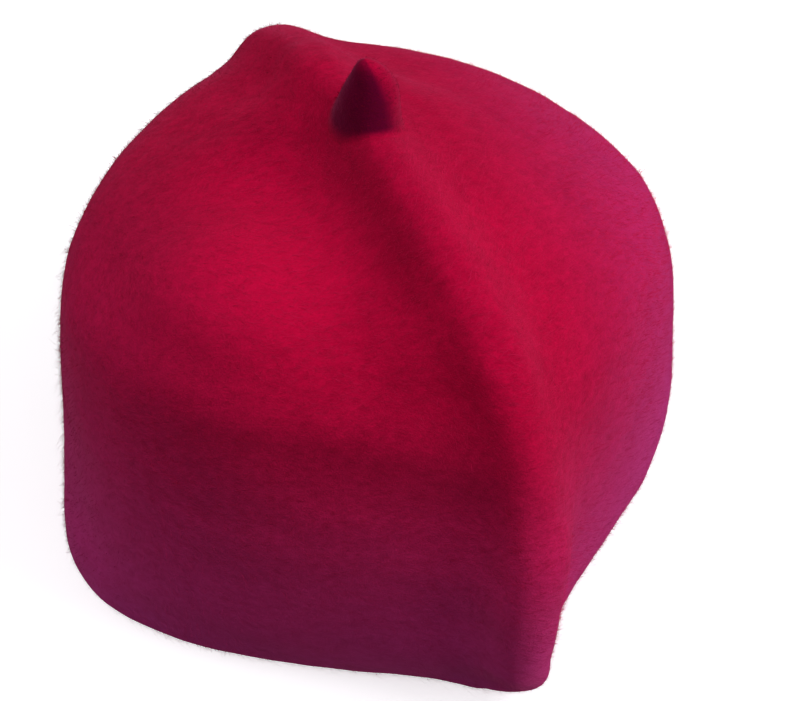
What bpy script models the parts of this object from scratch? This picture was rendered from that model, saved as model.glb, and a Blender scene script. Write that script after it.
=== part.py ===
"""A one-piece felt cap that stands on its hem, in metres with +Z up and the front at -Y.

The cap is one felt with no seam. Two bulging side panels meet in a soft fold that runs from the front of
the hem over the crown and down the back, and a short stalk of the same felt stands on the crown, just
beside the fold. Inside, the cap is hollow for the head. Its surface is a stack of outlines, from the hem
up to the stalk's tip, and its inner face is the same stack drawn in by the thickness of the felt.
"""

from collections import namedtuple

import bmesh
import bpy
import numpy as np

MM = 0.001

# Driving dimensions, in millimetres.
CROWN = 139.0  # height of the crown, without the fold and the stalk
HALF_LENGTH = 104.0  # from the middle of the cap to where the fold starts, at its longest
HALF_WIDTH = 94.0  # from the middle of the cap to the side of a panel
FELT = 2.5  # thickness of the felt
FOLD_FELT = 5.5  # thickness along the ends of the fold, where two walls are felted together
FOLD_EDGE = 4.0  # how far the fold's edge is rounded off
FOLD_LEFT = 9.0  # breadth of the raised fold, on the left panel
FOLD_RIGHT = 16.0  # and on the right panel
STALK_FOOT = 9.5  # radius of the stalk where it leaves the crown
STALK_HEIGHT = 18.0  # from the crown to the stalk's tip
STALK_X = 2.5  # where the stalk stands on the crown
STALK_Y = 13.5
STALK_LEAN = 1.5  # how far the tip leans over to the right

# The outlines from the hem up. height is a share of CROWN, front and back are shares of HALF_LENGTH, and
# left and right of HALF_WIDTH. A flank says how a panel runs into the fold: 1 is straight, less is hollow
# and more is full. square is the fullness of a panel's side. In millimetres, middle is how far the outline
# lies to the right, swing how much further its front end does, and fold how proud the fold stands.
Level = namedtuple(
    "Level", "height front back left right front_flank back_flank square middle swing fold"
)
LEVELS = (
    Level(0.000, 0.930, 0.97, 0.99, 1.01, 0.63, 0.95, 2.2, -2.5, 10.0, 0.0),
    Level(0.100, 0.965, 0.98, 1.00, 1.03, 0.59, 0.95, 2.4, 0.0, 9.0, 2.5),
    Level(0.220, 0.990, 1.00, 0.98, 1.02, 0.58, 0.95, 2.5, 1.0, 7.0, 4.0),
    Level(0.430, 0.990, 0.97, 0.95, 1.00, 0.57, 1.00, 2.4, 0.0, 5.5, 4.5),
    Level(0.620, 0.900, 0.90, 0.92, 0.94, 0.70, 1.06, 2.5, 0.0, 5.5, 5.0),
    Level(0.755, 0.810, 0.85, 0.87, 0.86, 0.78, 1.15, 2.3, -1.5, 7.0, 5.0),
    Level(0.860, 0.700, 0.71, 0.74, 0.65, 0.82, 1.15, 2.5, -2.0, 4.5, 6.0),
    Level(0.925, 0.530, 0.51, 0.50, 0.45, 0.86, 1.09, 2.0, -4.0, 4.0, 7.0),
    Level(0.975, 0.310, 0.30, 0.20, 0.23, 0.93, 1.10, 1.7, -6.0, 2.5, 8.0),
    Level(1.000, 0.000, 0.00, 0.00, 0.00, 0.93, 1.10, 1.7, -6.0, 2.5, 8.0),
)

# The stalk's rings: height as a share of STALK_HEIGHT, and radius as a share of STALK_FOOT.
Ring = namedtuple("Ring", "height radius")
STALK = (
    Ring(0.00, 1.30),
    Ring(0.12, 1.04),
    Ring(0.33, 0.92),
    Ring(0.58, 0.78),
    Ring(0.80, 0.60),
    Ring(0.94, 0.35),
)

# How fine the faceted surface is.
AROUND = 80  # points of an outline
STEPS = 3  # outlines for each row of LEVELS
GATHER = 0.22  # how much the points of an outline crowd towards the fold


def clear_scene():
    for obj in list(bpy.data.objects):
        bpy.data.objects.remove(obj, do_unlink=True)


def turns():
    """The angles of an outline's points, from the right-hand side round by the back."""
    even = np.linspace(0, 2 * np.pi, AROUND, endpoint=False)
    return even + GATHER * np.sin(2 * even)


def level_rows():
    """The rows of LEVELS in millimetres, with more between them on a Catmull-Rom curve."""
    shares = np.array([CROWN, HALF_LENGTH, HALF_LENGTH, HALF_WIDTH, HALF_WIDTH] + [1.0] * 6)
    rows = np.array(LEVELS) * shares
    ends = np.vstack([2 * rows[0] - rows[1], rows, 2 * rows[-1] - rows[-2]])
    found = []
    for first in range(len(rows) - 1):
        a, b, c, d = ends[first : first + 4]
        for t in np.arange(STEPS) / STEPS:
            bend = (2 * a - 5 * b + 4 * c - d) * t**2 + (3 * b - a - 3 * c + d) * t**3
            found.append(Level(*(b + 0.5 * ((c - a) * t + bend))))
    return found


def outline(row):
    """The points of one outline, and how far each lies from the fold's line.

    At the share s of the way to an end, a panel lies side * (1 - |s|^square)^(1 / flank) from the middle,
    and FOLD_EDGE rounds the point where the two panels meet.
    """
    along = np.sin(turns())
    rightward = np.cos(turns()) >= 0
    frontward = along < 0
    side = max(row.left, row.right, 0.01)
    half = np.where(rightward, row.right, row.left)
    flank = np.where(frontward, row.front_flank, row.back_flank)
    panel = half * np.maximum(1 - np.abs(along) ** row.square, 0) ** (1 / flank)
    edge = min(FOLD_EDGE, 0.2 * side)
    across = np.sqrt(panel**2 + 2 * edge * panel) * np.where(rightward, 1, -1)
    bend = row.middle + np.where(frontward, row.swing * np.abs(along) ** 3, 0)
    reach = np.where(frontward, row.front, row.back)
    return np.stack([across + bend, reach * along, np.full(AROUND, row.height)], axis=1), across


def raised(across, proud):
    """How far the felt stands out at this distance from the fold's line."""
    breadth = np.where(across >= 0, FOLD_RIGHT, FOLD_LEFT)
    return proud * np.exp(-((np.abs(across) / breadth) ** 1.5))


def outward(rings):
    """The directions that point out of a stack of rings, one for each point."""
    up = np.gradient(rings, axis=0)
    round_it = np.roll(rings, -1, axis=1) - np.roll(rings, 1, axis=1)
    found = np.cross(round_it, up)
    return found / np.maximum(np.linalg.norm(found, axis=2, keepdims=True), 1e-9)


def wall_rings():
    """The outlines of the wall and the crown, with the fold raised out of them."""
    drawn = [(row, *outline(row)) for row in level_rows()]
    rings = np.array([points for _, points, _ in drawn])
    fold = np.array([raised(across, row.fold) for row, _, across in drawn])
    directions = outward(rings)
    directions[0, :, 2] = 0
    return rings + directions * fold[:, :, None]


def crown_at(x):
    """The height of the crown beside the stalk, at this distance to the right."""
    top = LEVELS[-1]
    return CROWN - 0.5 + raised(x - top.middle, top.fold)


def stalk_rings():
    """Rings that flare out of the crown and narrow to the stalk's rounded tip."""
    rings = []
    for ring in STALK:
        radius = STALK_FOOT * ring.radius
        x = STALK_X + STALK_LEAN * ring.height**1.5 + radius * np.cos(turns())
        y = STALK_Y + radius * np.sin(turns())
        rooted = max(0.0, 1 - 3 * ring.height)
        base = rooted * crown_at(x) + (1 - rooted) * crown_at(STALK_X)
        rings.append(np.stack([x, y, base + ring.height * STALK_HEIGHT], axis=1))
    return np.array(rings)


def top_rings(wall):
    """One ring that carries the crown on to the stalk's foot, then the stalk."""
    stalk = stalk_rings()
    between = 0.5 * (wall[-1] + stalk[0])
    between[:, 2] = 0.3 * wall[-1, :, 2] + 0.7 * stalk[0, :, 2]
    return np.concatenate([between[None], stalk])


def add_rings(mesh, rings):
    return [[mesh.verts.new(point * MM) for point in ring] for ring in rings]


def add_band(mesh, lower, upper):
    """Faces between two rings that point out where upper is above lower, seen from outside."""
    for i in range(AROUND):
        j = (i + 1) % AROUND
        mesh.faces.new((lower[i], lower[j], upper[j], upper[i]))


def add_tip(mesh, ring, tip):
    for i in range(AROUND):
        mesh.faces.new((ring[i], ring[(i + 1) % AROUND], tip))


def felt_mesh():
    """The outer face with its stalk, the inner face, and the flat hem that joins them."""
    wall = wall_rings()
    drawn_in = np.array([1 - FELT / HALF_WIDTH, 1 - FOLD_FELT / HALF_LENGTH, 1 - FELT / CROWN])
    built = bmesh.new()

    outer = add_rings(built, np.concatenate([wall, top_rings(wall)]))
    for lower, upper in zip(outer, outer[1:]):
        add_band(built, lower, upper)
    tip_x = STALK_X + STALK_LEAN
    tip = built.verts.new(np.array([tip_x, STALK_Y, crown_at(STALK_X) + STALK_HEIGHT]) * MM)
    add_tip(built, outer[-1], tip)

    inner = add_rings(built, wall * drawn_in)
    for lower, upper in zip(inner, inner[1:]):
        add_band(built, upper, lower)
    top = LEVELS[-1]
    roof = built.verts.new(np.array([top.middle, 0, CROWN + top.fold]) * drawn_in * MM)
    add_tip(built, inner[-1][::-1], roof)

    add_band(built, inner[0], outer[0])
    bmesh.ops.recalc_face_normals(built, faces=built.faces)
    return built


def centre_on_origin(built):
    """Moves the mesh so that the middle of its box stands over the origin, on z = 0."""
    points = np.array([vert.co for vert in built.verts])
    low, high = points.min(axis=0), points.max(axis=0)
    shift = (-(low[0] + high[0]) / 2, -(low[1] + high[1]) / 2, -low[2])
    bmesh.ops.translate(built, verts=built.verts, vec=shift)


def felt_material():
    material = bpy.data.materials.new("crimson_felt")
    material.use_nodes = True
    shader = material.node_tree.nodes["Principled BSDF"]
    shader.inputs["Base Color"].default_value = (0.36, 0.006, 0.035, 1)
    shader.inputs["Roughness"].default_value = 0.95
    shader.inputs["Metallic"].default_value = 0.0
    return material


def build_cap():
    built = felt_mesh()
    centre_on_origin(built)
    mesh = bpy.data.meshes.new("felt_cap")
    built.to_mesh(mesh)
    built.free()
    mesh.materials.append(felt_material())
    mesh.shade_smooth()
    cap = bpy.data.objects.new("felt_cap", mesh)
    bpy.context.scene.collection.objects.link(cap)


clear_scene()
build_cap()
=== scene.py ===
# %% [markdown]
# # A seamless felt cap
#
# This lesson dresses one hat: a tall cap of thick crimson felt, made in one piece, with no seam. Wet wool is
# rubbed over a form until its fibres lock, and while it is soft the maker pinches a fold that runs from the
# front of the hem over the crown to the back, and rolls a short stalk between the fingers.
#
# The frame holds the cap's plain solid at its real size. Blender could repaint that solid, but its facets
# would show, and felt has no flat faces. So the cap is drawn again here as one fine surface in the same
# place, and the solid stays hidden under it.

# %% The frame
from collections import namedtuple

import bpy
import numpy as np
from mathutils import Matrix, Vector


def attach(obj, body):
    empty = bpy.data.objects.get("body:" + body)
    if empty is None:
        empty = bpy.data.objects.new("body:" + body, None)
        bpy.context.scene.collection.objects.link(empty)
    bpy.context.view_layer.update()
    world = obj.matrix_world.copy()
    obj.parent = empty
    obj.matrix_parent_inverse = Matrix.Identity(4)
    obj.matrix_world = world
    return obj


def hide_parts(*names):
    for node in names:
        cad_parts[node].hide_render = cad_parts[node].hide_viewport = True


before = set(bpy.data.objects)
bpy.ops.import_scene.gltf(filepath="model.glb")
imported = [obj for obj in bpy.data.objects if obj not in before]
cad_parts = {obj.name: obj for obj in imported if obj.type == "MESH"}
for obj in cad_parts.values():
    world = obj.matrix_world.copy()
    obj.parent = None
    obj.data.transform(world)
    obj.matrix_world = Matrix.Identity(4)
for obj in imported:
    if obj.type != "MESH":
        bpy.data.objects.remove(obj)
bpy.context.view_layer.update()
MM = 0.001

# %% [markdown]
# ## The cap's outlines
#
# Cut level at any height, the cap is shaped like a lens: two bulging side panels that meet at the fold in
# front and at the back. It could be sculpted by hand, but a stack of such outlines needs only one row of
# sizes for each height, and every size stays readable. The rows are shares of the cap's height, half length
# and half width, and a smooth curve through them gives the outlines in between. They differ a little from
# the plain solid's rows, because here each row was moved until the cap's outline met the photographed one.

# %% The cap's sizes, in millimetres
CROWN = 139.0  # height of the crown, without the fold and the stalk
HALF_LENGTH = 104.0  # from the middle of the cap to where the fold starts, at its longest
HALF_WIDTH = 94.0  # from the middle of the cap to the side of a panel
FELT = 2.5  # thickness of the felt
FOLD_FELT = 5.5  # thickness along the ends of the fold
FOLD_EDGE = 4.0  # how far the fold's edge is rounded off, on the crown
FOLD_EDGE_HEM = 12.0  # and at the hem, where it is rounder
FOLD_EDGE_RISE = 100.0  # the height over which the one turns into the other
FOLD_EDGE_SHARE = 0.2  # and the most that it may be, as a share of a panel's side
FOLD_LEFT = 6.5  # breadth of the raised fold, on the left panel
FOLD_RIGHT = 10.5  # and on the right panel
FOLD_ROUND = 4.0  # how far its crest is rounded
STALK_FOOT = 9.5  # radius of the stalk where it leaves the crown
STALK_HEIGHT = 18.8
STALK_X = 1.2  # where the stalk stands on the crown
STALK_Y = 9.5
STALK_BOW = 1.2  # how far its middle bows out to the right
STALK_LEAN = 0.8  # and how far its tip leans back to the left

# A flank says how a panel runs into the fold: 1 is straight, less is hollow and more is full. square is the
# fullness of a panel's side. In millimetres, middle is how far the outline lies to the right, swing how much
# further its front end does, and fold how proud the fold stands.
Level = namedtuple(
    "Level", "height front back left right front_flank back_flank square middle swing fold"
)
LEVELS = (
    Level(0.000, 0.859, 0.965, 0.900, 1.004, 0.77, 0.97, 2.00, -4.4, 3.9, 4.0),
    Level(0.100, 0.923, 0.973, 0.915, 1.050, 0.86, 0.97, 1.89, -3.2, 7.1, 7.4),
    Level(0.220, 0.962, 0.972, 0.938, 0.985, 0.75, 0.98, 2.22, 1.3, 1.1, 7.6),
    Level(0.430, 0.943, 0.960, 0.947, 0.936, 0.77, 1.02, 2.28, 2.5, -0.5, 9.4),
    Level(0.530, 0.914, 0.942, 0.940, 0.951, 0.85, 1.07, 2.12, 1.1, 2.4, 10.0),
    Level(0.620, 0.888, 0.925, 0.934, 0.932, 0.88, 1.13, 2.08, 0.8, 2.7, 7.2),
    Level(0.755, 0.835, 0.849, 0.905, 0.851, 0.91, 1.22, 2.08, 0.4, 3.4, 4.0),
    Level(0.860, 0.710, 0.710, 0.750, 0.630, 0.88, 1.28, 2.50, -0.5, 3.2, 7.0),
    Level(0.925, 0.575, 0.500, 0.600, 0.420, 1.00, 1.18, 2.40, 0.0, 0.8, 9.5),
    Level(0.975, 0.295, 0.320, 0.200, 0.240, 1.10, 1.16, 3.20, -1.0, 0.5, 10.0),
    Level(1.000, 0.000, 0.000, 0.000, 0.000, 1.10, 1.16, 3.20, -1.0, 0.5, 10.0),
)
print(len(LEVELS), "rows of sizes")


# %% A smooth curve through the rows
SIDE_POINTS = 1200  # places on the cap's side that its length is measured by


def levels_at(steps):
    """The sizes at each of these steps, where step 2.5 lies half-way between the third row and the fourth.

    It is a Catmull-Rom curve: each stretch starts and ends with the slope of the line between the rows on
    either side of it.
    """
    shares = np.array([CROWN, HALF_LENGTH, HALF_LENGTH, HALF_WIDTH, HALF_WIDTH] + [1.0] * 6)
    rows = np.array(LEVELS) * shares
    ends = np.vstack([2 * rows[0] - rows[1], rows, 2 * rows[-1] - rows[-2]])
    first = np.clip(np.floor(steps).astype(int), 0, len(rows) - 2)
    t = (steps - first)[:, None]
    a, b, c, d = (ends[first + k] for k in range(4))
    bend = (2 * a - 5 * b + 4 * c - d) * t**2 + (3 * b - a - 3 * c + d) * t**3
    return Level(*(b + 0.5 * ((c - a) * t + bend)).T[:, :, None])


def even_steps(last, spacing):
    """Steps from the hem to this last one that lie evenly far apart up the side of the cap."""
    fine = np.linspace(0, last, SIDE_POINTS)
    rows = levels_at(fine)
    height, side = rows.height[:, 0], rows.left[:, 0]
    length = np.concatenate([[0], np.cumsum(np.hypot(np.diff(height), np.diff(side)))])
    return np.interp(np.linspace(0, length[-1], int(length[-1] / spacing) + 1), length, fine)


print("half-way up the rows, the cap is", round(float(levels_at(np.array([5.0])).height[0, 0])), "mm high")


# %% [markdown]
# ## The wall and the fold
#
# The fold is the cap's main feature: a ridge as thick as a finger, steep on the left and easy on the right.
# Each outline already comes to a point where the two panels meet. The ridge is then raised out of it along
# the surface's own normals, as high as a bell curve says at that distance from the fold's line. Raising it
# this way keeps it the same breadth on the crown, where the felt lies flat, and on the wall, where it stands.
# Thick felt can't make a sharp edge, so the bell's top is rounded, and the fold is rounder still at the hem,
# where it opens.

# %% The wall's surface
AROUND = 360  # points of an outline
SPACING = 1.6  # between the outlines, in millimetres
GATHER = 0.22  # how much the points of an outline crowd towards the fold
CROWN_STEP = 9.0  # where the outlines stop and the stalk's foot takes over
LEVEL_BELOW = 25.0  # the height under which the felt is only pushed sideways


def turns():
    """The angles of an outline's points, from the right-hand side round by the back."""
    even = np.linspace(0, 2 * np.pi, AROUND, endpoint=False)
    return even + GATHER * np.sin(2 * even)


def outlines(row):
    """The points of the outlines, and how far each lies from the fold's line.

    At the share s of the way to an end, a panel lies side * (1 - |s|^square)^(1 / flank) from the middle,
    and the edge, larger towards the hem, rounds the point where the two panels meet.
    """
    along = np.sin(turns())[None, :]
    rightward = np.cos(turns())[None, :] >= 0
    frontward = along < 0
    half = np.where(rightward, row.right, row.left)
    flank = np.where(frontward, row.front_flank, row.back_flank)
    panel = half * np.maximum(1 - np.abs(along) ** row.square, 0) ** (1 / flank)
    low = np.clip(1 - row.height / FOLD_EDGE_RISE, 0, 1)
    most = FOLD_EDGE_SHARE * np.maximum(row.left, row.right)
    edge = np.minimum(FOLD_EDGE + (FOLD_EDGE_HEM - FOLD_EDGE) * low, most)
    across = np.sqrt(panel**2 + 2 * edge * panel) * np.where(rightward, 1, -1)
    bend = row.middle + np.where(frontward, row.swing * np.abs(along) ** 3, 0)
    reach = np.where(frontward, row.front, row.back)
    height = row.height + 0 * across
    return np.stack([across + bend, reach * along, height], axis=2), across


def raised(across, proud):
    """How far the felt stands out at this distance from the fold's line.

    It is a bell curve, broader on the right, of sqrt(distance^2 + round^2) - round, so its crest is rounded.
    """
    breadth = np.where(across >= 0, FOLD_RIGHT, FOLD_LEFT)
    return proud * np.exp(-(((np.hypot(across, FOLD_ROUND) - FOLD_ROUND) / breadth) ** 1.5))


def outward(rings):
    """The directions that point out of a stack of rings: the cross product of its two tangents."""
    up = np.gradient(rings, axis=0)
    round_it = np.roll(rings, -1, axis=1) - np.roll(rings, 1, axis=1)
    found = np.cross(round_it, up)
    return found / np.maximum(np.linalg.norm(found, axis=2, keepdims=True), 1e-9)


def level_low_down(directions, rings):
    """The directions, levelled towards the table: below LEVEL_BELOW, nothing is pushed down past the hem."""
    directions = directions.copy()
    directions[:, :, 2] *= np.clip(rings[:, :, 2] / LEVEL_BELOW, 0, 1)
    return directions


def wall_rings():
    """The outlines from the hem to the crown, with the fold raised out of them."""
    row = levels_at(even_steps(CROWN_STEP, SPACING))
    rings, across = outlines(row)
    return rings + level_low_down(outward(rings), rings) * raised(across, row.fold)[:, :, None]


wall = wall_rings()
print(len(wall), "outlines of", AROUND, "points")

# %% [markdown]
# ## The crown round the stalk
#
# The outlines could shrink on to a point at the top of the crown, but then no ring would fit the stalk. So
# they stop a little way down, and the crown goes on as a formula: a shallow dome that is fitted to the last
# outlines, with the fold on top of it. Rings of any shape can be laid on that.

# %% The crown as a formula
DOME_STEPS = (8.5, 8.75, 9.0, 9.25, 9.5)  # the outlines that the dome is fitted to


def dome_terms(x, y):
    """The powers that a dome is a weighted sum of: 1, x, y, x^2, x y and y^2."""
    return np.stack([x * 0 + 1, x, y, x * x, x * y, y * y], axis=-1)


def fitted_dome():
    """The weights that bring the dome closest to the outlines, by least squares."""
    points = outlines(levels_at(np.array(DOME_STEPS)))[0].reshape(-1, 3)
    return np.linalg.lstsq(dome_terms(points[:, 0], points[:, 1]), points[:, 2], rcond=None)[0]


DOME = fitted_dome()


def crown_height(x, y):
    """The height of the crown here: the dome, and the fold that is raised out of it along its line."""
    top = LEVELS[-2]
    ahead = np.clip(-y / (top.front * HALF_LENGTH), 0, 1)
    fold_line = top.middle + top.swing * ahead**3
    return dome_terms(x, y) @ DOME + raised(x - fold_line, top.fold)


print("the dome is", round(float(crown_height(0.0, 0.0)), 1), "mm high")

# %% [markdown]
# ## The stalk
#
# The stalk is pinched up out of the crown and rolled between the fingers until it is hard and pointed. It
# could be a separate cone pushed into the hat, but felt flows from one form into the next, so the rings of
# the wall go on: they shrink from the crown's outline to a circle round the stalk's foot, and then climb it.

# %% The stalk's surface
Ring = namedtuple("Ring", "height radius")
STALK = (
    Ring(0.00, 1.14),
    Ring(0.05, 1.03),
    Ring(0.20, 0.93),
    Ring(0.42, 0.80),
    Ring(0.65, 0.60),
    Ring(0.82, 0.41),
    Ring(0.93, 0.25),
    Ring(1.00, 0.00),
)
FOOT_RINGS = 26
STALK_RINGS = 34
TIP_SHARE = 0.996  # where the last ring lies, just under the tip
TIP_RISE = 0.2  # and how far the tip is over it, in millimetres
CROWDED = 1.4  # how much the rings crowd at the foot; a sine crowds them at the tip


def stalk_centre(share):
    """How far the stalk's middle lies to the right at this share of its height: out and back, like a bow."""
    return STALK_X + STALK_BOW * np.sin(np.pi * share) - STALK_LEAN * share**2


def stalk_rings():
    """Rings that climb the stalk, from a foot that follows the crown to the pointed tip.

    A ring's radius comes from a curve through STALK, and the foot's slant fades out over the lowest third.
    """
    sizes = np.array(STALK)
    share = np.sin(np.linspace(0, 1, STALK_RINGS) * np.pi / 2) ** CROWDED * TIP_SHARE
    radius = STALK_FOOT * np.sqrt(np.interp(share, sizes[:, 0], sizes[:, 1] ** 2))
    share, radius = share[:, None], radius[:, None]
    x = stalk_centre(share) + radius * np.cos(turns())
    y = STALK_Y + radius * np.sin(turns())
    rooted = np.maximum(0, 1 - 3 * share)
    base = rooted * crown_height(x, y) + (1 - rooted) * crown_height(np.float64(STALK_X), np.float64(STALK_Y))
    return np.stack([x, y, base + share * STALK_HEIGHT], axis=2)


def foot_rings(edge, foot):
    """Rings between the crown's last outline and the stalk's foot, which they turn into step by step.

    Their places are blended evenly. Their heights follow the crown's formula, and start with what is left of
    the difference between the formula and the last outline.
    """
    share = np.linspace(0, 1, FOOT_RINGS + 2)[1:-1, None, None]
    rings = (1 - share) * edge + share * foot
    start = edge[:, 2] - crown_height(edge[:, 0], edge[:, 1])
    rings[:, :, 2] = crown_height(rings[:, :, 0], rings[:, :, 1]) + (1 - share[:, :, 0]) ** 2 * start
    return rings


stalk = stalk_rings()
foot = foot_rings(wall[-1], stalk[0])
outer = np.concatenate([wall, foot, stalk])
tip = np.array([stalk_centre(1.0), STALK_Y, stalk[-1, :, 2].max() + TIP_RISE])
print(len(outer), "rings outside; the tip is", round(float(tip[2]), 1), "mm high")

# %% [markdown]
# ## Softly uneven felt
#
# Felted by hand, no wall is quite true: it has shallow dents as wide as a thumb, and finer lumps where the
# wool lay thicker. Random numbers for each point would only make it rough. The numbers stand on the corners
# of a grid of cubes instead, and are blended inside each cube, so neighbouring points move together.

# %% Dents, waves and lumps
CORNERS = 64  # the grid of random numbers repeats after this many cubes
GRID_START = 32.37  # keeps every place inside the grid, and the cap's middle off its corners


def soft_noise(points, size, seed):
    """A smooth random value from -1 to 1 at each point, which changes over this many millimetres.

    Random numbers stand on the corners of a grid of cubes, and 3 t^2 - 2 t^3 blends them inside a cube.
    """
    corners = np.random.default_rng(seed).uniform(-1, 1, (CORNERS, CORNERS, CORNERS))
    place = points / size + GRID_START
    cube = np.floor(place).astype(int)
    t = place - cube
    t = t * t * (3 - 2 * t)
    found = 0
    for dx in (0, 1):
        for dy in (0, 1):
            for dz in (0, 1):
                share = abs(1 - dx - t[..., 0]) * abs(1 - dy - t[..., 1]) * abs(1 - dz - t[..., 2])
                index = (cube + (dx, dy, dz)) % CORNERS
                found = found + share * corners[index[..., 0], index[..., 1], index[..., 2]]
    return found


def uneven(points):
    """How far each point of the felt stands in or out, in millimetres: dents, waves and lumps added up."""
    return (
        0.40 * soft_noise(points, 34, 1)
        + 0.25 * soft_noise(points, 13, 2)
        + 0.12 * soft_noise(points, 5, 3)
    )


print("largest dent or lump in mm:", round(float(abs(uneven(outer)).max()), 2))

# %% [markdown]
# ## Pressed by hand
#
# Some marks are no accident of the wool. The maker's palm filled out the top of the left panel, and the
# thumbs drew hollows along the fold and pressed the hem in beside it. A sculpting brush could do this, but
# would leave no sizes to read. So each mark is a line of places on the felt, with a breadth and a depth, and
# the felt moves in or out by a bell curve of its distance to that line.

# %% The marks of the hand, in millimetres
Press = namedtuple("Press", "breadth proud places")
MOULDED = (
    Press(22, 7.0, ((-55, -17, 130),)),  # the full top of the left panel
    # the panel's shoulder, and where it is softer in front
    Press(8, 1.0, ((-85, 6, 109), (-79, -19, 112), (-67, -38, 111), (-57, -47, 110))),
    Press(16, -2.0, ((-42, -61, 98), (-24, -75, 94), (-13, -83, 92))),
    # the hollow along the left of the fold
    Press(14, -3.7, ((-27, 2, 140), (-26, -12, 139), (-26, -30, 136), (-28, -50, 130), (-28, -60, 124))),
    # low on the right panel, beside the fold
    Press(14, -2.6, ((21, -91, 12), (32, -83, 12), (46, -71, 12), (51, -67, 11))),
    Press(10, -2.0, ((-8, -95, 6), (-4, -101, 16))),  # under the end of the fold
    Press(7, 2.2, ((12, -102, 13),)),  # the fold's corner
    Press(18, -1.0, ((-22, -77, 3), (-15, -83, 3))),  # the hem, left of the fold
)
PLACES_BETWEEN = 16  # a line is looked at in so many steps from one of its places to the next


def bell(points, press):
    """proud * exp(-(distance / breadth)^2), with the distance to the nearest place on the line."""
    corners = np.arange(len(press.places))
    steps = np.linspace(0, corners[-1], PLACES_BETWEEN * corners[-1] + 1)
    line = np.stack([np.interp(steps, corners, axis) for axis in zip(*press.places)], axis=1)
    away = np.min([np.linalg.norm(points - place, axis=-1) for place in line], axis=0)
    return press.proud * np.exp(-((away / press.breadth) ** 2))


def moulded(points):
    """How far the hand has pressed each point out: the bells of all the marks, added up."""
    return sum(bell(points, press) for press in MOULDED)


pressed = moulded(outer)
print("pressed out by up to", round(float(pressed.max()), 1), "mm and in by", round(float(-pressed.min()), 1))

# %% [markdown]
# ## The inner face and the hem
#
# Inside, the cap is the same form drawn in by the thickness of the felt. The hem is a cut edge, which rubbing
# has rounded, so a rounded band joins the two faces at the bottom. The whole cap is one closed skin: it
# starts at the roof inside, comes down the inner face, goes round the hem and up to the stalk's tip.

# %% The whole skin
HEM_RINGS = 7
HEM_ROUND = 1.2  # how far the hem is rounded off, in millimetres
HEM_EASE = 12.0  # the height over which lifting the hem fades out
INNER_STEP = 3  # the inner face takes every third ring, because it is smoother
INNER_UNEVEN = 0.5  # and it is half as uneven
ROOF_RISE = 2.0  # from the inner face's last ring to the pole that closes it
MIDDLE = (0.86, -0.06)  # the solid stands with this place of the rows over the origin


def hem_rings(inner, outer_hem):
    """Rounded rings under the hem, from its inner edge to its outer edge: half an ellipse, HEM_ROUND deep."""
    angle = np.linspace(0, np.pi, HEM_RINGS + 2)[1:-1, None, None]
    centre, half = (inner + outer_hem) / 2, (outer_hem - inner) / 2
    rings = centre - np.cos(angle) * half
    rings[:, :, 2] = -HEM_ROUND * np.sin(angle[:, :, 0])
    return rings


def lift_hem(rings):
    """Raises the hem until its lowest line lies on the table, and eases that out over the lowest wall."""
    rings[:, :, 2] += HEM_ROUND * np.clip(1 - rings[:, :, 2] / HEM_EASE, 0, 1) ** 2
    return rings


drawn_in = np.array([1 - FELT / HALF_WIDTH, 1 - FOLD_FELT / HALF_LENGTH, 1 - FELT / CROWN])
inner = (wall * drawn_in)[::-INNER_STEP]
inner = np.concatenate([inner, (wall[:1] * drawn_in)]) if len(wall) % INNER_STEP != 1 else inner
outer = outer + level_low_down(outward(outer), outer) * (uneven(outer) + pressed)[:, :, None]
inner = inner + outward(inner[::-1])[::-1] * (INNER_UNEVEN * uneven(inner) + moulded(inner))[:, :, None]
outer[0, :, 2] = 0
inner[-1, :, 2] = 0
skin = lift_hem(np.concatenate([inner, hem_rings(inner[-1], outer[0]), outer]))
roof = skin[0].mean(axis=0) + np.array([0, 0, ROOF_RISE])
skin_points = np.concatenate([[roof], skin.reshape(-1, 3), [tip]])
print(len(skin), "rings in the skin,", len(skin_points), "points")


# %% The mesh
def new_piece(name, points, faces):
    """An object at the origin, with its place in its mesh. The points are in metres."""
    mesh = bpy.data.meshes.new(name)
    mesh.from_pydata(points.tolist(), [], faces)
    piece = bpy.data.objects.new(name, mesh)
    bpy.context.scene.collection.objects.link(piece)
    return piece


def on_the_table(points):
    """The points in metres, with MIDDLE moved over the origin, where the solid has it."""
    return (points - np.array([*MIDDLE, 0])) * MM


def ring_quads(rings, around):
    """The faces between each ring and the next, which point out where the rings climb."""
    start = np.arange(rings - 1)[:, None] * around
    here, after = np.arange(around), (np.arange(around) + 1) % around
    quads = np.stack([start + here, start + after, start + around + after, start + around + here], axis=2)
    return quads.reshape(-1, 4)


def closed_mesh(name, points, rings, around):
    """A closed skin from a first pole, a stack of rings and a last pole, with its faces pointing out."""
    here, after = np.arange(around), (np.arange(around) + 1) % around
    first = np.stack([np.zeros(around, int), 1 + after, 1 + here], axis=1)
    end = 1 + (rings - 1) * around
    last = np.stack([end + here, end + after, np.full(around, end + around)], axis=1)
    faces = (1 + ring_quads(rings, around)).tolist() + first.tolist() + last.tolist()
    piece = new_piece(name, points, faces)
    piece.data.validate()
    piece.data.shade_smooth()
    return piece


cap = closed_mesh("felted_cap", on_the_table(skin_points), len(skin), AROUND)
print(cap.name, len(cap.data.polygons), "faces")

# %% [markdown]
# ## Painted shade on the stalk and in the crease
#
# The stalk is rolled hard, and it is painted dark as shade, less on its lit right side and round the tip. The
# hollow beside the fold is painted deeper, as shade. A texture can't know where these places are, and
# painting them would need an image. The rings do know, so each point of the mesh keeps two shares, the
# stalk's shade and the crease's, which the felt's material reads.

# %% Where the stalk and the crease are painted dark
# the line along which the hollow left of the fold is painted darker, as shade
CREASE_SHADE_LINE = Press(9, 1.0, ((-8, 8, 143), (-8.5, -5, 142.5), (-9, -20, 140), (-8.5, -32, 139.5)))

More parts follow.
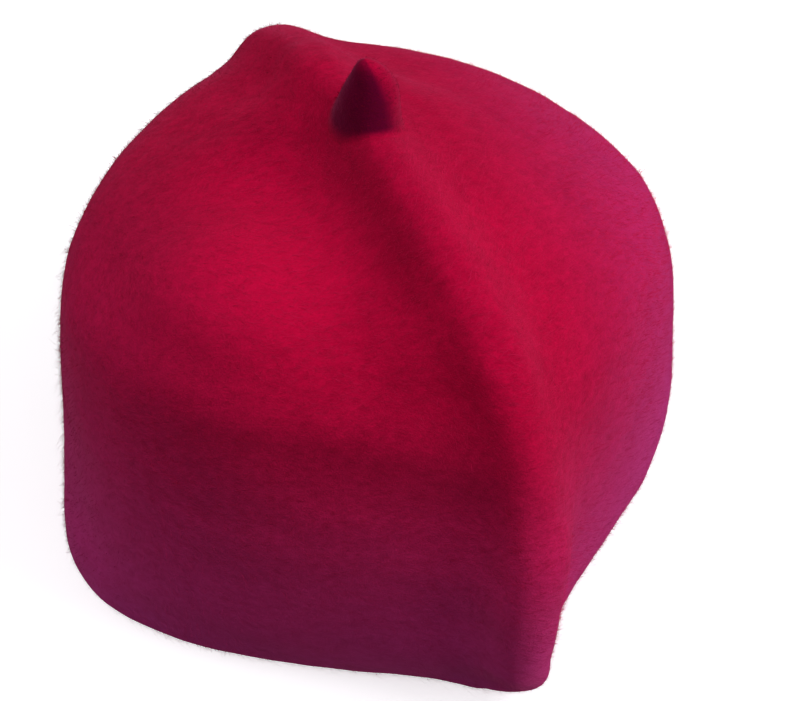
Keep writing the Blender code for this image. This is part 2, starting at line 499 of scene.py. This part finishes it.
# The heights on the stalk count its rings, from 0 at the foot to 1 at the tip.
STALK_SHADE_FROM = 0.12  # the height from which the stalk is painted dark
TIP_FROM = 0.6  # and from which it is painted less dark again, towards the tip
TIP_LESS = 0.45
STALK_SHADE_TIP = 0.2  # the share at the very tip
LIT_SIDE_TURN = np.radians(5)  # the middle of the lit side, painted lighter, lies this far from the right to the front
LIT_SIDE_START = 0.2  # it starts where the cosine of the turn from that middle is this much,
LIT_SIDE_EASE = 0.65  # is full where it is this much more,
LIT_SIDE_WIDER = 0.45  # and both are this much less at the tip
LIT_SIDE_LESS = 0.62  # how much less dark the lit side is painted
LIT_SIDE_LESS_UP = 0.25  # and how much less again at the tip


def keep_share(piece, name, share):
    """Keeps one number for each point with the mesh, where a material can read it."""
    kept = piece.data.attributes.new(name, "FLOAT", "POINT")
    kept.data.foreach_set("value", share.astype(np.float32))


def smooth(share):
    """3 t^2 - 2 t^3, with t kept between 0 and 1."""
    share = np.clip(share, 0, 1)
    return share * share * (3 - 2 * share)


def stalk_shade_share():
    """How dark painted shade makes each point: nought on the cap, and one from just above the stalk's foot.

    It is less on the stalk's right, where the light falls, and round the tip.
    """
    height = np.concatenate([np.zeros(len(skin) - STALK_RINGS), np.linspace(0, 1, STALK_RINGS)])[:, None]
    facing = np.cos(turns() + LIT_SIDE_TURN)
    lit_side = smooth((facing - LIT_SIDE_START + LIT_SIDE_WIDER * height) / LIT_SIDE_EASE)
    share = smooth(height / STALK_SHADE_FROM) * (1 - (LIT_SIDE_LESS + LIT_SIDE_LESS_UP * height) * lit_side)
    share = share * (1 - TIP_LESS * smooth((height - TIP_FROM) / (1 - TIP_FROM)))
    return np.concatenate([[0], share.ravel(), [STALK_SHADE_TIP]])


crease_shade = bell(skin_points, CREASE_SHADE_LINE)
keep_share(cap, "stalk_shade", stalk_shade_share())
keep_share(cap, "crease_shade", crease_shade)
print("creased by at least half at", int((crease_shade > 0.5).sum()), "points")

# %% [markdown]
# ## Loose fibres
#
# Rubbing never locks every fibre of the wool. Short ends stand off the felt all over, lying the way the last
# strokes of the hand went, and they are what makes felt look soft. A hair system would have to be turned into
# a mesh for the exported model, so each fibre is drawn as a mesh at once: a narrow strip that bends away
# from the felt and tapers to a point. All of them are worked out together as arrays, a few faces each. The
# stalk is rolled so hard that only a few short ends are left on it.

# %% The sorts of fibres, in millimetres
Tuft = namedtuple("Tuft", "name rings count shortest longest bends width seed")
FELTED, ROLLED_UP = outer[: 1 - STALK_RINGS], outer[-STALK_RINGS:]  # all but the stalk, and the stalk
TUFTS = (
    Tuft("short_fibres", FELTED, 62000, 0.8, 2.4, 2, 0.08, 11),
    Tuft("middle_fibres", FELTED, 62000, 1.4, 3.6, 2, 0.08, 12),
    Tuft("long_fibres", FELTED, 36000, 2.0, 6.0, 3, 0.08, 13),
    Tuft("stray_hairs", FELTED, 400, 3.5, 8.0, 9, 0.10, 14),
    Tuft("stalk_fibres", ROLLED_UP, 2400, 0.6, 1.8, 2, 0.08, 15),
)
print(sum(tuft.count for tuft in TUFTS), "fibres of", len(TUFTS), "sorts")

# %% Where they grow
STROKE = np.array([0.9, -0.44, 0.0])  # the way the last strokes went over the crown
ROUND_STROKE = 1.2  # and how much further they went round the wall


def grown_at(rings, count, seed):
    """Random places on the rings' faces, with the directions out of them and along the stroke.

    A face of the grid is picked as often as its area says, and the place lies anywhere inside it.
    """
    random = np.random.default_rng(seed)
    turned = np.roll(rings, -1, axis=1)
    out = np.cross(turned[:-1] - rings[:-1], rings[1:] - rings[:-1])
    area = np.linalg.norm(out, axis=2)
    limit = np.cumsum(area.ravel())
    ring, turn = np.divmod(np.searchsorted(limit, random.uniform(0, limit[-1], count)), AROUND)
    share, rise = random.uniform(0, 1, (2, count, 1))
    low = rings[ring, turn] * (1 - share) + turned[ring, turn] * share
    high = rings[ring + 1, turn] * (1 - share) + turned[ring + 1, turn] * share
    out = out[ring, turn] / area[ring, turn][:, None]
    along = STROKE - (out @ STROKE)[:, None] * out + ROUND_STROKE * np.cross((0, 0, 1), out)
    return low * (1 - rise) + high * rise, out, along / np.linalg.norm(along, axis=1, keepdims=True)


# %% How they lie
ROOT = 0.06  # how deep a fibre starts in the felt, in millimetres
LOWEST = 0.02  # how near to the table it may come
SWIRL = 30  # the breadth of the swirls in which neighbours lie the same way
SWIRL_SEED = 20
STRAYING = 0.4  # how far one fibre strays from its neighbours, in radians
LIFT = (0.1, 1.1)  # the range of its lift's square root, from lying flat to standing off
CURL = 0.16  # how far it curls sideways, as a share of its length


def fibre_mesh(tuft):
    """Tapering strips. At the share t of its length a fibre has gone t ahead, lift * (t - t^2 / 2) off the
    felt and curl * t^2 sideways; its width is width * (1 - t)^(1/2), and nought at the tip.
    """
    count, bends = tuft.count, tuft.bends
    random = np.random.default_rng(tuft.seed)
    place, out, along = grown_at(tuft.rings, count, tuft.seed)
    stroke = soft_noise(place, SWIRL, SWIRL_SEED) + random.normal(0, STRAYING, count)
    ahead = np.cos(stroke)[:, None] * along + np.sin(stroke)[:, None] * np.cross(out, along)
    aside = np.cross(out, ahead)
    length = tuft.shortest + (tuft.longest - tuft.shortest) * random.uniform(0, 1, (count, 1, 1)) ** 2
    lift = random.uniform(*LIFT, (count, 1, 1)) ** 2
    curl = random.normal(0, CURL, (count, 1, 1))
    t = np.linspace(0, 1, bends + 1)[None, :, None]
    path = t * ahead[:, None] + lift * (t - t * t / 2) * out[:, None] + curl * t * t * aside[:, None]
    path = (place - ROOT * out)[:, None] + length * path
    half = 0.5 * tuft.width * np.sqrt(1 - t[:, :-1]) * aside[:, None]
    points = np.concatenate([path[:, :-1] - half, path[:, :-1] + half, path[:, -1:]], axis=1)
    points = points.reshape(-1, 3)
    points[:, 2] = np.maximum(points[:, 2], LOWEST)
    first = (2 * bends + 1) * np.arange(count)[:, None]
    left = first + np.arange(bends - 1)[None, :]
    quads = np.stack([left + bends, left, left + 1, left + bends + 1], axis=2).reshape(-1, 4)
    ends = np.concatenate([first + 2 * bends - 1, first + bends - 1, first + 2 * bends], axis=1)
    piece = new_piece(tuft.name, on_the_table(points), quads.tolist() + ends.tolist())
    keep_share(piece, "tone", np.repeat(random.uniform(0, 1, count), 2 * bends + 1))
    return piece


fibres = [fibre_mesh(tuft) for tuft in TUFTS]
for piece in fibres:
    print(piece.name, len(piece.data.polygons), "faces")

# %% [markdown]
# ## Shader maths
#
# A felt material adds up several patterns, and wiring each sum by hand hides what it says. A small class
# wraps a socket of the node tree, so that 0.5 + 0.2 * lumps adds the Math nodes itself.

# %% A socket that can be added and multiplied
class Wire:
    """A socket of a material's nodes. Arithmetic on it adds Math nodes."""

    def __init__(self, tree, socket):
        self.tree = tree
        self.socket = socket

    def maths(self, operation, first, second):
        return Nodes(self.tree).add("ShaderNodeMath", {"operation": operation}, {0: first, 1: second})

    def __add__(self, other):
        return self.maths("ADD", self, other)

    def __sub__(self, other):
        return self.maths("SUBTRACT", self, other)

    def __rsub__(self, other):
        return self.maths("SUBTRACT", other, self)

    def __mul__(self, other):
        return self.maths("MULTIPLY", self, other)

    def __pow__(self, other):
        return self.maths("POWER", self, other)

    def __abs__(self):
        return self.maths("ABSOLUTE", self, 0.0)

    __radd__ = __add__
    __rmul__ = __mul__


class Nodes:
    """Adds nodes to a material: their kind, their settings, and the values or wires of their sockets."""

    def __init__(self, tree):
        self.tree = tree

    def add(self, kind, settings=None, sockets=None, output=0):
        node = self.tree.nodes.new(kind)
        for name, value in (settings or {}).items():
            setattr(node, name, value)
        for name, value in (sockets or {}).items():
            if isinstance(value, Wire):
                self.tree.links.new(value.socket, node.inputs[name])
            else:
                node.inputs[name].default_value = value
        return Wire(self.tree, node.outputs[output])


# %% [markdown]
# ## The felt's finish
#
# Felt is matt, and its colour is never even: under a lens it is a tangle of fibres, darker between them, over
# clouds where the dye took a little more or less. Loose fibre ends catch the light at the edges, which the
# shader's sheen gives. Fine threads come from noise that is folded at its middle: where it crosses zero it
# leaves thin winding lines.
#
# Painted light lies over that. A painted highlight lightens the top of the left panel, where it faces the
# lights. Low on the wall and at the sides, a paler, cooler red is painted for the light that the floor throws
# back and for sheen. The hollow beside the fold is painted deeper, as shade, and the stalk is painted dark,
# as shade, lighter on its lit right side. All this could be painted on an image, but shares worked out from
# the place on the cap, or kept with the mesh's points, stay sharp at any distance.

# %% The colours of the wool
DEEP = (0.300, 0.0012, 0.0240, 1)  # the hollows between the fibres
BRIGHT = (0.570, 0.0030, 0.0470, 1)  # the fibres on top
PAINTED_HIGHLIGHT = (0.700, 0.0040, 0.0560, 1)  # a painted highlight on the top of the left panel, where it faces the lights
HIGHLIGHT_PLACE = (-0.041, -0.021, 0.134)  # the middle of that, in metres
HIGHLIGHT_REACH = 0.045  # and how far it reaches from there
PAINTED_BOUNCE = (0.500, 0.0420, 0.2400, 1)  # painted bounce light and sheen: a paler, cooler red low on the wall and at the sides
CREASE_SHADE_COLOUR = (0.140, 0.0008, 0.0140, 1)  # painted shade in the crease beside the fold
STALK_SHADE_COLOUR = (0.090, 0.0005, 0.0200, 1)  # painted shade on the stalk
RELIEF = 0.0006  # how high the felt's fine relief seems, in metres
FIBRE_DEEP = (0.440, 0.0020, 0.0400, 1)  # loose fibres, from the deepest
FIBRE_PALE = (0.600, 0.0080, 0.0750, 1)  # to the palest
print("the fibres reflect", round(BRIGHT[0] / DEEP[0], 1), "times the red of the hollows between them")


# %% Patterns
PER_MM = 1000.0  # a pattern's scale counts its patches in a metre
DRAWN_OUT = (0.55, 1, 1)  # draws a pattern out from left to right, much as the stroke went
TURNED = (0, 0, np.radians(26))  # and only then turns its patches


def noise(nodes, place, per_mm, detail=2.0, roughness=0.5):
    """Soft random patches, this many to a millimetre."""
    sockets = {"Vector": place, "Scale": per_mm * PER_MM, "Detail": detail, "Roughness": roughness}
    return nodes.add("ShaderNodeTexNoise", None, sockets)


def mixed(nodes, share, first, second):
    """A colour that goes from the first to the second as the share goes from 0 to 1."""
    return nodes.add("ShaderNodeMix", {"data_type": "RGBA"}, {"Factor": share, 6: first, 7: second}, output=2)


def eased(nodes, value, start, end):
    """A share that rises smoothly from 0 to 1 as the value goes from start to end."""
    settings = {"interpolation_type": "SMOOTHSTEP"}
    return nodes.add("ShaderNodeMapRange", settings, {"Value": value, "From Min": start, "From Max": end})


# %% The felt
def bounce_share(nodes, place, mottle):
    """How much painted bounce light and sheen pale the wool: more low down, on both sides and in front, less
    behind.
    """
    side, back, height = (nodes.add("ShaderNodeSeparateXYZ", None, {0: place}, output=k) for k in range(3))
    low = eased(nodes, height, 0.125, 0.0)
    hem = eased(nodes, height, 0.022, 0.0)
    right = eased(nodes, side, 0.02, 0.10)
    left = eased(nodes, side, -0.04, -0.1)
    front = eased(nodes, back, -0.05, -0.1)
    behind = eased(nodes, back, 0.0, 0.09)
    bounce = low * (0.36 + 0.5 * mottle) + 0.16 * hem + 0.45 * right + 0.18 * low * front + 0.12 * left
    return bounce * (1 - 0.45 * behind)


def felt_material():
    """Two wool colours mixed by clouds, mottle and grain, then painted highlight, bounce light and shade."""
    material = bpy.data.materials.new("wet_felted_wool")
    material.use_nodes = True
    tree = material.node_tree
    nodes = Nodes(tree)
    shader = tree.nodes["Principled BSDF"]
    place = nodes.add("ShaderNodeTexCoord", output=3)
    stretch = {"Vector": place, "Rotation": TURNED, "Scale": DRAWN_OUT}
    stroked = nodes.add("ShaderNodeMapping", None, stretch)
    stalk_shaded_wool = nodes.add("ShaderNodeAttribute", {"attribute_name": "stalk_shade"}, output=2)
    crease_shade = nodes.add("ShaderNodeAttribute", {"attribute_name": "crease_shade"}, output=2)
    clouds = noise(nodes, place, 0.05)
    mottle = noise(nodes, stroked, 0.45, 3.0, 0.6)
    grain = noise(nodes, stroked, 2.2)
    threads = (1 - 6 * abs(noise(nodes, place, 0.9, 1.0) - 0.5)) ** 3
    tone = 0.25 * clouds + 0.45 * mottle + 0.35 * grain
    shade = nodes.add("ShaderNodeMapRange", None, {"Value": tone, "From Min": 0.32, "From Max": 0.72})
    away = nodes.add("ShaderNodeVectorMath", {"operation": "DISTANCE"}, {0: place, 1: HIGHLIGHT_PLACE}, 1)
    colour = mixed(nodes, shade, DEEP, BRIGHT)
    # a painted highlight on the top of the left panel
    colour = mixed(nodes, 0.4 * eased(nodes, away, HIGHLIGHT_REACH, 0.0), colour, PAINTED_HIGHLIGHT)
    # painted light bounced from the floor, and sheen: paler low on the wall and at the sides
    colour = mixed(nodes, bounce_share(nodes, place, mottle), colour, PAINTED_BOUNCE)
    # painted shade in the crease beside the fold
    colour = mixed(nodes, 0.35 * crease_shade, colour, CREASE_SHADE_COLOUR)
    # painted shade on the stalk, lighter on its lit right side
    colour = mixed(nodes, 0.95 * stalk_shaded_wool, colour, STALK_SHADE_COLOUR)
    tree.links.new(colour.socket, shader.inputs["Base Color"])
    relief = 0.5 * mottle + 0.35 * grain + 0.15 * threads
    bump = nodes.add("ShaderNodeBump", None, {"Height": relief, "Strength": 0.5, "Distance": RELIEF})
    tree.links.new(bump.socket, shader.inputs["Normal"])
    shader.inputs["Roughness"].default_value = 0.95
    shader.inputs["Specular IOR Level"].default_value = 0.01
    shader.inputs["Sheen Weight"].default_value = 0.36
    shader.inputs["Sheen Roughness"].default_value = 0.4
    shader.inputs["Sheen Tint"].default_value = (1.0, 0.16, 0.38, 1)
    return material


felt = felt_material()
print(len(felt.node_tree.nodes), "nodes in", felt.name)

# %% [markdown]
# ## The loose fibres' finish
#
# A loose fibre is lit from all round, so it looks a little paler than the felt under it, and no two fibres
# took the dye alike. One colour would make the fuzz flat, and a material for each fibre would be thousands.
# So each fibre keeps a random number with its mesh, the tone, and one material mixes its colours by that.


# %% Two finishes for the fibres
def fibre_material(name, deep, pale, bounce_amount):
    """Loose fibres: each has a tone from the deep colour to the pale one, and painted bounce light low down.
    """
    material = bpy.data.materials.new(name)
    material.use_nodes = True
    tree = material.node_tree
    nodes = Nodes(tree)
    shader = tree.nodes["Principled BSDF"]
    place = nodes.add("ShaderNodeTexCoord", output=3)
    height = nodes.add("ShaderNodeSeparateXYZ", None, {0: place}, output=2)
    tone = nodes.add("ShaderNodeAttribute", {"attribute_name": "tone"}, output=2)
    clouds = noise(nodes, place, 0.05)
    colour = mixed(nodes, 0.75 * tone + 0.25 * clouds, deep, pale)
    # painted bounce light, low on the wall
    colour = mixed(nodes, bounce_amount * eased(nodes, height, 0.105, 0.0), colour, PAINTED_BOUNCE)
    tree.links.new(colour.socket, shader.inputs["Base Color"])
    shader.inputs["Roughness"].default_value = 0.85
    shader.inputs["Specular IOR Level"].default_value = 0.1
    return material


loose = fibre_material("loose_wool", FIBRE_DEEP, FIBRE_PALE, 0.5)
# the stalk's fibres are painted dark with the stalk's painted shade
stalk_shaded_fibres = fibre_material("stalk_shaded_wool", STALK_SHADE_COLOUR, DEEP, 0.0)
print("the fibres' finishes:", loose.name, "and", stalk_shaded_fibres.name)

# %% The finishes on their pieces, and what the pieces stand for
cap.data.materials.append(felt)
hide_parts("felt_cap")
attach(cap, "root")
for piece in fibres:
    piece.data.materials.append(stalk_shaded_fibres if piece.name == "stalk_fibres" else loose)
    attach(piece, "root")
print(1 + len(fibres), "pieces ride on the root")

# %% [markdown]
# ## The stage
#
# The hat stands on plain white paper. A single sheet would end somewhere, and a low view would show the dark
# room past its edge, so the paper bends up all round, as a photographer's sweep does. White paper throws much
# light back, which would wash the shade off the wall, so here it is seen but lights nothing.

# %% White paper
PAPER = (0.80, 0.80, 0.82, 1)
GLOW = (1.0, 0.99, 1.0, 1)  # the paper's glow beside the hat
FAR_GLOW = (1.7, 1.7, 1.7, 1)  # and a metre away, where it fades to plain white
GLOW_FROM, GLOW_TO = 0.45, 1.1  # the distances between which the one turns into the other, in metres
GLOW_STRENGTH = 0.62


def white_paper():
    """White paper with a glow of its own, which grows with the distance from the hat."""
    material = bpy.data.materials.new("white_paper")
    material.use_nodes = True
    tree = material.node_tree
    nodes = Nodes(tree)
    shader = tree.nodes["Principled BSDF"]
    place = nodes.add("ShaderNodeTexCoord", output=3)
    away = nodes.add("ShaderNodeVectorMath", {"operation": "LENGTH"}, {0: place}, 1)
    glow = mixed(nodes, eased(nodes, away, GLOW_FROM, GLOW_TO), GLOW, FAR_GLOW)
    tree.links.new(glow.socket, shader.inputs["Emission Color"])
    shader.inputs["Base Color"].default_value = PAPER
    shader.inputs["Roughness"].default_value = 0.9
    shader.inputs["Emission Strength"].default_value = GLOW_STRENGTH
    return material


white = white_paper()
print(white.name, "has", len(white.node_tree.nodes), "nodes")

# %% The floor and the sweep, in metres
FLOOR_HALF = 2.0
SWEEP_START = 1.4  # where the sweep begins, a little under the floor
SWEEP_UNDER = 0.002
SWEEP_BEND = 2.4  # where it starts to bend up
SWEEP_RADIUS = 2.0  # the radius of that bend
SWEEP_RINGS, SWEEP_AROUND = 14, 64


def add_paper(name, points, faces):
    """A piece of the stage that lights nothing: white paper's own glow would wash the shade off the wall."""
    paper = new_piece(name, points, faces)
    paper.data.shade_smooth()
    paper.data.materials.append(white)
    paper.visible_diffuse = False
    paper.visible_glossy = False
    return paper


def sweep_points():
    """Rings round the floor: one under it, and then a quarter circle that starts at SWEEP_BEND."""
    bend = np.linspace(0, np.pi / 2, SWEEP_RINGS - 1)[:, None]
    radius = np.concatenate([[[SWEEP_START]], SWEEP_BEND + SWEEP_RADIUS * np.sin(bend)])
    height = np.concatenate([[[0.0]], SWEEP_RADIUS * (1 - np.cos(bend))]) - SWEEP_UNDER
    turn = np.linspace(0, 2 * np.pi, SWEEP_AROUND, endpoint=False)
    return np.stack([radius * np.cos(turn), radius * np.sin(turn), height + 0 * turn], axis=2).reshape(-1, 3)


corners = FLOOR_HALF * np.array([(-1, -1, 0), (1, -1, 0), (1, 1, 0), (-1, 1, 0)])
floor = add_paper("floor", corners, [(0, 1, 2, 3)])
sweep = add_paper("sweep", sweep_points(), ring_quads(SWEEP_RINGS, SWEEP_AROUND)[:, ::-1].tolist())
sweep.visible_shadow = False
print("the stage:", floor.name, "and", sweep.name)

# %% [markdown]
# ## The lights
#
# The photograph has soft daylight. The main light stands where a window would, high on the right and a little
# in front, and leaves the left wall in shade. A broad pale ceiling fills that shade. Two cards at the height
# of the hem lighten the lowest felt, and two low lights from behind draw the thin bright rims at the sides.
# A sky picture could light the hat in one step, but no part of it could be turned up alone.

# %% The lights
LIT_PLACE = Vector((0, 0, 0.07))  # the middle of the hat, in metres
ROOM = (0.90, 0.88, 1.0, 1)  # the pale light from all round
ROOM_STRENGTH = 0.09


def add_light(name, azimuth, elevation, distance, size, power, colour):
    """A square soft light that looks at the hat from this azimuth, counted from the front to the right."""
    turn, rise = np.radians(azimuth), np.radians(elevation)
    towards = Vector((np.sin(turn) * np.cos(rise), -np.cos(turn) * np.cos(rise), np.sin(rise)))
    lamp = bpy.data.lights.new(name, "AREA")
    lamp.size = size
    lamp.energy = power
    lamp.color = colour
    light = bpy.data.objects.new(name, lamp)
    light.location = towards * distance + LIT_PLACE
    light.rotation_euler = towards.to_track_quat("Z", "Y").to_euler()
    bpy.context.scene.collection.objects.link(light)
    return light


# Angles in degrees, distances and sizes in metres, and powers in watts.
add_light("window", 58, 48, 1.6, 0.8, 12.3, (1.0, 1.0, 1.0))
add_light("pale_ceiling", -75, 72, 1.6, 2.4, 18.0, (1.0, 1.0, 1.0))
add_light("right_card", 48, 8, 1.2, 0.6, 5.0, (1.0, 0.95, 1.0))
add_light("front_card", -20, 5, 1.2, 0.5, 0.6, (1.0, 0.92, 1.0))
add_light("left_rim", -130, 6, 1.6, 0.7, 4.0, (1.0, 0.95, 1.0))
add_light("right_rim", 110, 2, 1.6, 0.7, 5.0, (1.0, 0.95, 1.0))
world = bpy.data.worlds.new("pale_room")
world.use_nodes = True
world.node_tree.nodes["Background"].inputs["Color"].default_value = ROOM
world.node_tree.nodes["Background"].inputs["Strength"].default_value = ROOM_STRENGTH
bpy.context.scene.world = world
bpy.context.scene.view_settings.view_transform = "Standard"
print(len(bpy.data.lights), "lights,", round(sum(lamp.energy for lamp in bpy.data.lights), 1), "watts in all")

# %% [markdown]
# ## The camera
#
# The camera looks down on the hat at half a right angle, from the front and a little from the left, from a
# bit more than half a metre. It could be set by eye, but a few places that are easy to find on the hat and in
# the photograph, such as the stalk's tip and the fold's corner, fix it by least squares.

# %% The camera
PHOTO_WIDTH = 794
PHOTO_HEIGHT = 701
CAMERA_AZIMUTH = -26.14
CAMERA_ELEVATION = 50.12
CAMERA_ROLL = 2.15
CAMERA_DISTANCE = 0.54867
AIM = Vector((-0.00086, 0.00006, 0.060))
FOCAL_PIXELS = 1800
CENTRE_PIXEL = (369.14, 345.89)
SENSOR = 36.0  # the sensor's width, in millimetres


def add_camera():
    """Three axes from the two angles, then turned about the line of sight by the roll; the lens in pixels."""
    turn, rise = np.radians(CAMERA_AZIMUTH), np.radians(CAMERA_ELEVATION)
    back = Vector((np.sin(turn) * np.cos(rise), -np.cos(turn) * np.cos(rise), np.sin(rise)))
    right = Vector((np.cos(turn), np.sin(turn), 0))
    up = back.cross(right)
    roll = np.radians(CAMERA_ROLL)
    right, up = np.cos(roll) * right + np.sin(roll) * up, np.cos(roll) * up - np.sin(roll) * right
    lens = bpy.data.cameras.new("camera")
    lens.sensor_width = SENSOR
    lens.lens = SENSOR * FOCAL_PIXELS / PHOTO_WIDTH
    lens.shift_x = (PHOTO_WIDTH / 2 - CENTRE_PIXEL[0]) / PHOTO_WIDTH
    lens.shift_y = (CENTRE_PIXEL[1] - PHOTO_HEIGHT / 2) / PHOTO_WIDTH
    camera = bpy.data.objects.new("camera", lens)
    camera.matrix_world = Matrix(
        [(*row, place) for row, place in zip(zip(right, up, back), AIM + CAMERA_DISTANCE * back)]
        + [(0, 0, 0, 1)]
    )
    bpy.context.scene.collection.objects.link(camera)
    bpy.context.scene.camera = camera
    return camera


print("camera at", [round(value, 3) for value in add_camera().matrix_world.translation])
